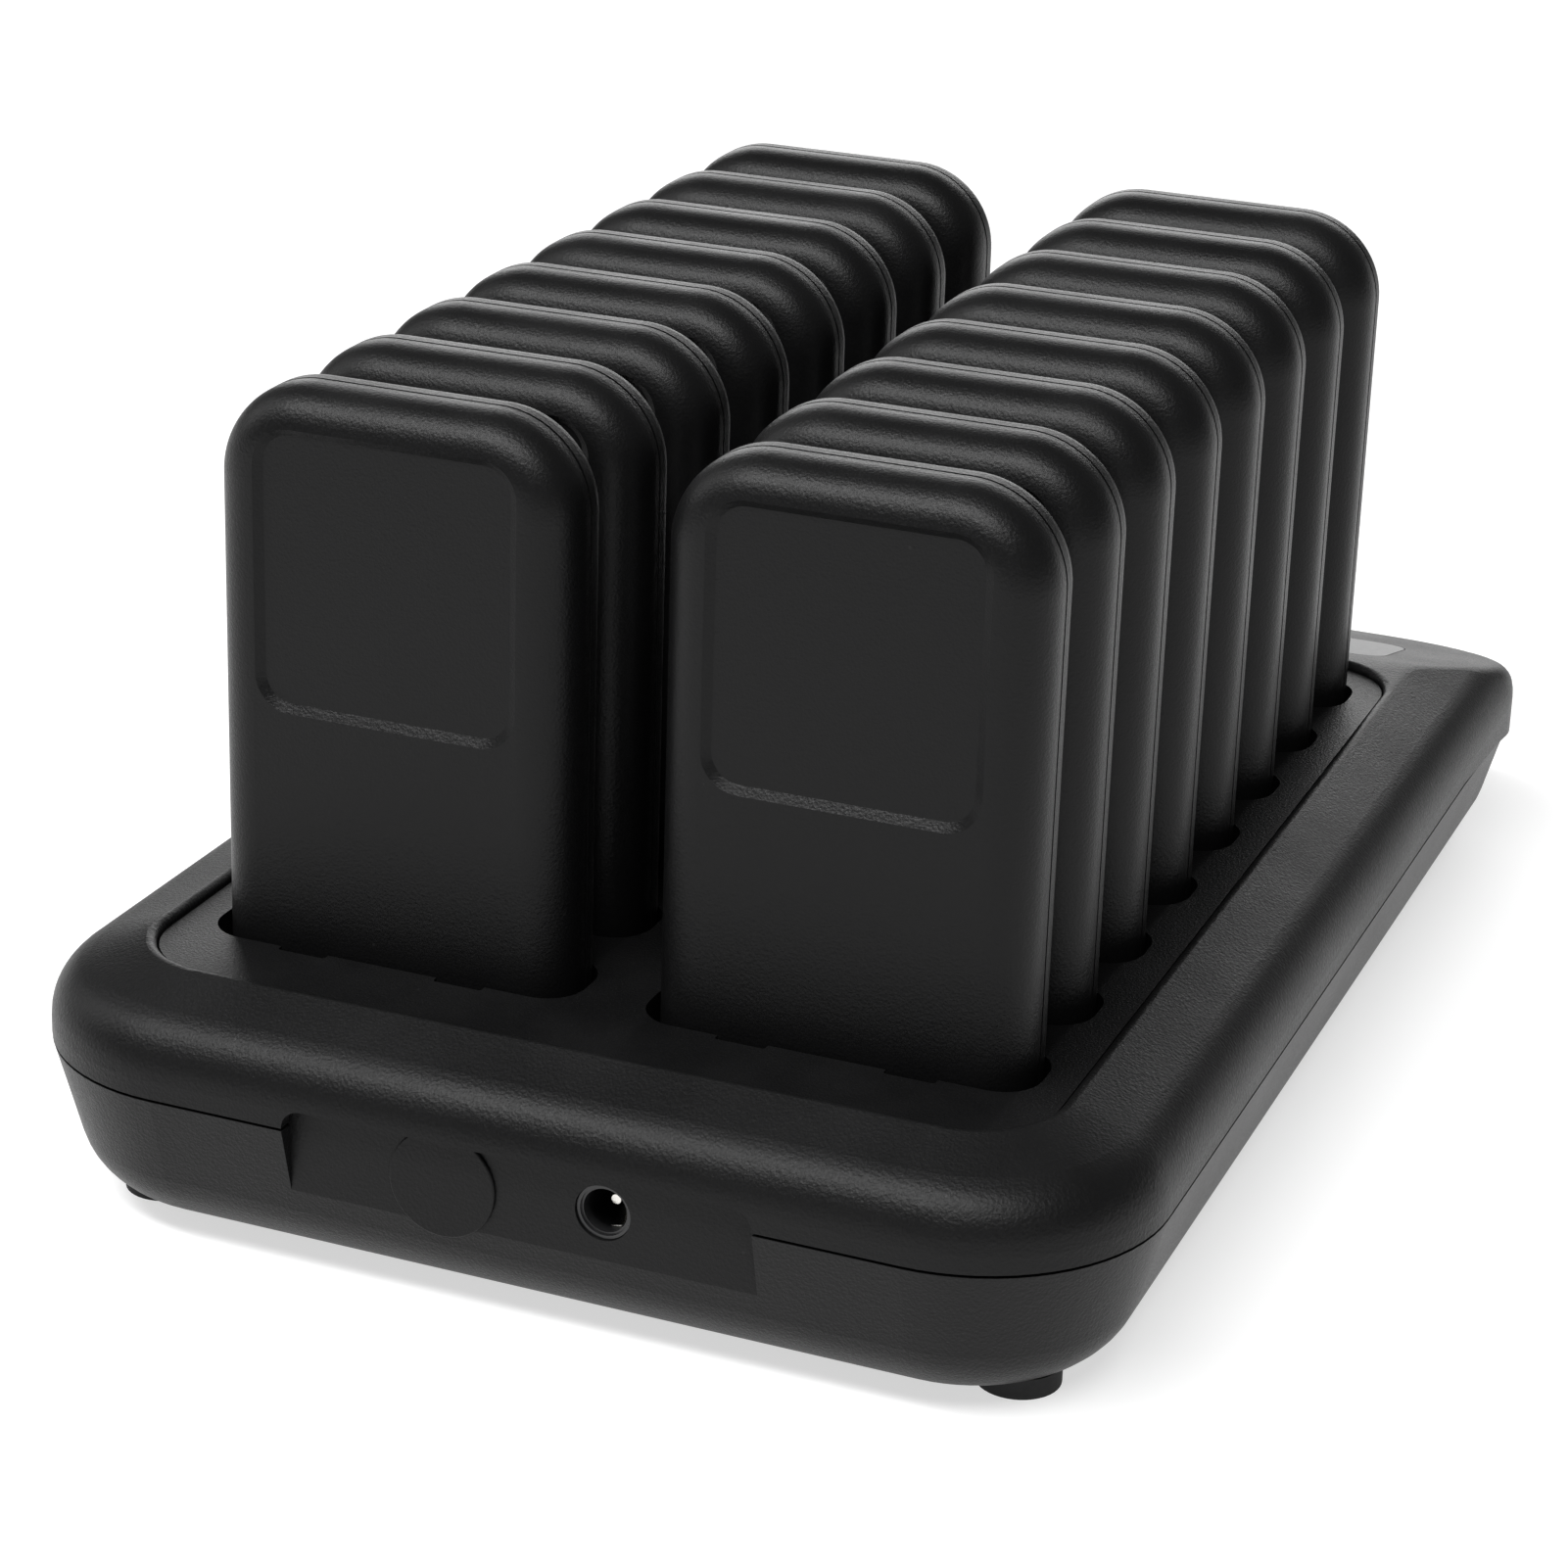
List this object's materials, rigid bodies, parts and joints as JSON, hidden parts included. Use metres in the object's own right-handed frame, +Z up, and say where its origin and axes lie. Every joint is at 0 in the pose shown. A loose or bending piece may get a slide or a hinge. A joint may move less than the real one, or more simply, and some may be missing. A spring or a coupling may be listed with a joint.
{
  "type": "pager charging station",
  "caption": "Flat table-top charging station: upright rounded pagers stand in two columns of slots and lift straight out; sloping rear deck, power socket at the front.",
  "frame": {"origin": "on the supporting surface under the middle of the case", "axes": "+Z up, +Y from the socket end to the deck end, +X to the right seen from the socket end"},
  "size_m": [0.1674, 0.261, 0.1209],
  "materials": {
    "case_plastic": "fine matte texture",
    "tray_plastic": "fine matte texture",
    "window_plastic": "smooth",
    "plug_plastic": "satin",
    "foot_rubber": "matte",
    "board_laminate": "solder mask",
    "steel": "plated",
    "contact_metal": "plated",
    "component_black": "moulded",
    "socket_plastic": "moulded",
    "aluminium_case": "satin",
    "lamp_plastic": "clear",
    "pager_plastic": "fine matte texture",
    "pager_rear_plastic": "fine matte texture"
  },
  "bodies": {
    "base": {"blanking_plug": "plug_plastic", "board_components": "component_black", "board_screws": "steel", "case_screws": "steel", "charging_board": "board_laminate", "charging_pins": "contact_metal", "deck_window": "window_plastic", "lower_case": "case_plastic", "power_socket": "socket_plastic", "radio_module": "steel", "rubber_feet": "foot_rubber", "slot_tray": "tray_plastic", "socket_pin": "contact_metal", "upper_case": "case_plastic"},
    "pager_01": {"pager_01_battery": "aluminium_case", "pager_01_buzzer": "component_black", "pager_01_charging_pads": "contact_metal", "pager_01_circuit_board": "board_laminate", "pager_01_front_shell": "pager_plastic", "pager_01_lamps": "lamp_plastic", "pager_01_rear_shell": "pager_rear_plastic", "pager_01_screws": "steel", "pager_01_vibration_motor": "aluminium_case"},
    "pager_02": {"pager_02_front_shell": "pager_plastic", "pager_02_rear_shell": "pager_rear_plastic"},
    "pager_03": {"pager_03_front_shell": "pager_plastic", "pager_03_rear_shell": "pager_rear_plastic"},
    "pager_04": {"pager_04_front_shell": "pager_plastic", "pager_04_rear_shell": "pager_rear_plastic"},
    "pager_05": {"pager_05_front_shell": "pager_plastic", "pager_05_rear_shell": "pager_rear_plastic"},
    "pager_06": {"pager_06_front_shell": "pager_plastic", "pager_06_rear_shell": "pager_rear_plastic"},
    "pager_07": {"pager_07_front_shell": "pager_plastic", "pager_07_rear_shell": "pager_rear_plastic"},
    "pager_08": {"pager_08_front_shell": "pager_plastic", "pager_08_rear_shell": "pager_rear_plastic"},
    "pager_09": {"pager_09_front_shell": "pager_plastic", "pager_09_rear_shell": "pager_rear_plastic"},
    "pager_10": {"pager_10_front_shell": "pager_plastic", "pager_10_rear_shell": "pager_rear_plastic"},
    "pager_11": {"pager_11_front_shell": "pager_plastic", "pager_11_rear_shell": "pager_rear_plastic"},
    "pager_12": {"pager_12_front_shell": "pager_plastic", "pager_12_rear_shell": "pager_rear_plastic"},
    "pager_13": {"pager_13_front_shell": "pager_plastic", "pager_13_rear_shell": "pager_rear_plastic"},
    "pager_14": {"pager_14_front_shell": "pager_plastic", "pager_14_rear_shell": "pager_rear_plastic"},
    "pager_15": {"pager_15_front_shell": "pager_plastic", "pager_15_rear_shell": "pager_rear_plastic"},
    "pager_16": {"pager_16_front_shell": "pager_plastic", "pager_16_rear_shell": "pager_rear_plastic"}
  },
  "joints": [
    {"name": "lift_01", "type": "slide", "parent": "base", "child": "pager_01", "axis": [0, 0, 1], "range_m": [0, 0.06]},
    {"name": "lift_02", "type": "slide", "parent": "base", "child": "pager_02", "axis": [0, 0, 1], "range_m": [0, 0.06]},
    {"name": "lift_03", "type": "slide", "parent": "base", "child": "pager_03", "axis": [0, 0, 1], "range_m": [0, 0.06]},
    {"name": "lift_04", "type": "slide", "parent": "base", "child": "pager_04", "axis": [0, 0, 1], "range_m": [0, 0.06]},
    {"name": "lift_05", "type": "slide", "parent": "base", "child": "pager_05", "axis": [0, 0, 1], "range_m": [0, 0.06]},
    {"name": "lift_06", "type": "slide", "parent": "base", "child": "pager_06", "axis": [0, 0, 1], "range_m": [0, 0.06]},
    {"name": "lift_07", "type": "slide", "parent": "base", "child": "pager_07", "axis": [0, 0, 1], "range_m": [0, 0.06]},
    {"name": "lift_08", "type": "slide", "parent": "base", "child": "pager_08", "axis": [0, 0, 1], "range_m": [0, 0.06]},
    {"name": "lift_09", "type": "slide", "parent": "base", "child": "pager_09", "axis": [0, 0, 1], "range_m": [0, 0.06]},
    {"name": "lift_10", "type": "slide", "parent": "base", "child": "pager_10", "axis": [0, 0, 1], "range_m": [0, 0.06]},
    {"name": "lift_11", "type": "slide", "parent": "base", "child": "pager_11", "axis": [0, 0, 1], "range_m": [0, 0.06]},
    {"name": "lift_12", "type": "slide", "parent": "base", "child": "pager_12", "axis": [0, 0, 1], "range_m": [0, 0.06]},
    {"name": "lift_13", "type": "slide", "parent": "base", "child": "pager_13", "axis": [0, 0, 1], "range_m": [0, 0.06]},
    {"name": "lift_14", "type": "slide", "parent": "base", "child": "pager_14", "axis": [0, 0, 1], "range_m": [0, 0.06]},
    {"name": "lift_15", "type": "slide", "parent": "base", "child": "pager_15", "axis": [0, 0, 1], "range_m": [0, 0.06]},
    {"name": "lift_16", "type": "slide", "parent": "base", "child": "pager_16", "axis": [0, 0, 1], "range_m": [0, 0.06]}
  ]
}
